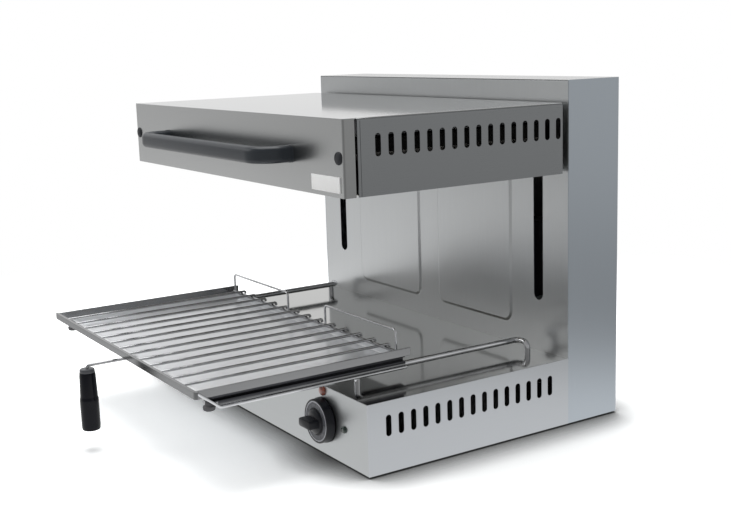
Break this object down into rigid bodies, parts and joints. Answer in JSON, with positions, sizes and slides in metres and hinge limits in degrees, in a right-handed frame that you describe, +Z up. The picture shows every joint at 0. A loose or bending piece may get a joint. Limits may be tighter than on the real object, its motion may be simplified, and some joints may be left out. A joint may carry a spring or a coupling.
{
  "type": "cheese melter",
  "caption": "Countertop cheese melter: steel base and rear column, heated hood that rides up and down on the column, and a pull-out wire rack with drip tray and handgrip.",
  "frame": {"origin": "centre of the bounding box's underside, on the bench surface, with the rack pulled out as stored", "axes": "+Z up; -Y is the front, where the rack, knob and hood handle are; +X is the right side seen from the front"},
  "size_m": [0.6, 0.6351, 0.445],
  "materials": {
    "satin_steel": "brushed satin, grain along the length",
    "polished_steel": "mirror-polished stainless steel",
    "bright_steel": "bright chromed wire and strip",
    "plain_steel": "plain mill-finish steel",
    "rope_steel": "stranded wire rope",
    "element_sheath": "oxidised heat-proof sheath",
    "cast_iron": "plain cast",
    "bronze": "sintered bronze",
    "black_plastic": "satin moulded, heat-proof",
    "knob_plastic": "semi-gloss moulded",
    "grip_plastic": "turned and polished",
    "black_rubber": "matt",
    "ceramic": "glazed steatite",
    "mineral_wool": "fibrous board",
    "red_lens": "clear orange-red lens",
    "green_lens": "clear green lens"
  },
  "bodies": {
    "cabinet": {"base_front": "satin_steel", "base_side_left": "satin_steel", "base_side_right": "satin_steel", "base_top": "polished_steel", "base_floor": "plain_steel", "feet": "black_rubber", "column_front": "polished_steel", "column_side_left": "satin_steel", "column_side_right": "satin_steel", "column_rear": "satin_steel", "column_top": "satin_steel", "rear_screws": "bright_steel", "cable_gland": "black_plastic", "terminal_block": "ceramic", "rail_left": "bright_steel", "rail_right": "bright_steel", "rail_nuts": "plain_steel", "regulator": "ceramic", "lamp_red": "red_lens", "lamp_green": "green_lens", "guide_rods": "bright_steel", "guide_brackets": "plain_steel", "lift_buffers": "black_rubber", "shaft_bearings": "plain_steel", "idler_brackets": "plain_steel", "lift_ropes": "rope_steel"},
    "hood": {"hood_front": "satin_steel", "hood_plugs": "black_plastic", "hood_cover": "satin_steel", "hood_rear": "satin_steel", "hood_handle": "black_plastic", "hood_reflector": "polished_steel", "hood_insulation": "mineral_wool", "hood_beams": "plain_steel", "element_front": "element_sheath", "element_middle": "element_sheath", "element_rear": "element_sheath", "element_hangers": "plain_steel", "carriage_left": "plain_steel", "carriage_right": "plain_steel", "carriage_bushings": "bronze", "carriage_tie": "plain_steel", "rope_clamps": "plain_steel"},
    "rack": {"rack_front_bar": "bright_steel", "rack_side_bars": "bright_steel", "rack_rods": "bright_steel", "rack_stops": "bright_steel", "runner_left": "bright_steel", "runner_right": "bright_steel", "rack_feet": "black_rubber", "rack_handle": "bright_steel", "rack_grip": "grip_plastic", "drip_tray": "polished_steel"},
    "knob": {"knob": "knob_plastic", "knob_spindle": "plain_steel"},
    "lift_shaft": {"lift_shaft": "plain_steel"},
    "idler_left": {"idler_left": "plain_steel"},
    "idler_right": {"idler_right": "plain_steel"},
    "counterweight": {"counterweight": "cast_iron"}
  },
  "joints": [
    {"name": "hood_lift", "type": "slide", "parent": "cabinet", "child": "hood", "axis": [0, 0, 1], "range_m": [-0.177, 0]},
    {"name": "rack_slide", "type": "slide", "parent": "cabinet", "child": "rack", "axis": [0, 1, 0], "range_m": [0, 0.178]},
    {"name": "knob_turn", "type": "hinge", "parent": "cabinet", "child": "knob", "pos_m": [0.2, -0.08005, 0.0465], "axis": [0, 1, 0], "range_deg": [0, 300]},
    {"name": "shaft_turn", "type": "hinge", "parent": "cabinet", "child": "lift_shaft", "pos_m": [0, 0.27195, 0.418], "axis": [1, 0, 0], "range_deg": [0, 564]},
    {"name": "idler_left_turn", "type": "hinge", "parent": "cabinet", "child": "idler_left", "pos_m": [-0.2, 0.27195, 0.128], "axis": [1, 0, 0], "range_deg": [0, 564]},
    {"name": "idler_right_turn", "type": "hinge", "parent": "cabinet", "child": "idler_right", "pos_m": [0.2, 0.27195, 0.128], "axis": [1, 0, 0], "range_deg": [0, 564]},
    {"name": "counterweight_lift", "type": "slide", "parent": "cabinet", "child": "counterweight", "axis": [0, 0, 1], "range_m": [0, 0.177]}
  ],
  "couplings": [
    {"joint": "shaft_turn", "follows": "hood_lift", "rad_per_m": -55.556},
    {"joint": "idler_left_turn", "follows": "hood_lift", "rad_per_m": -55.556},
    {"joint": "idler_right_turn", "follows": "hood_lift", "rad_per_m": -55.556},
    {"joint": "counterweight_lift", "follows": "hood_lift", "ratio": -1}
  ]
}
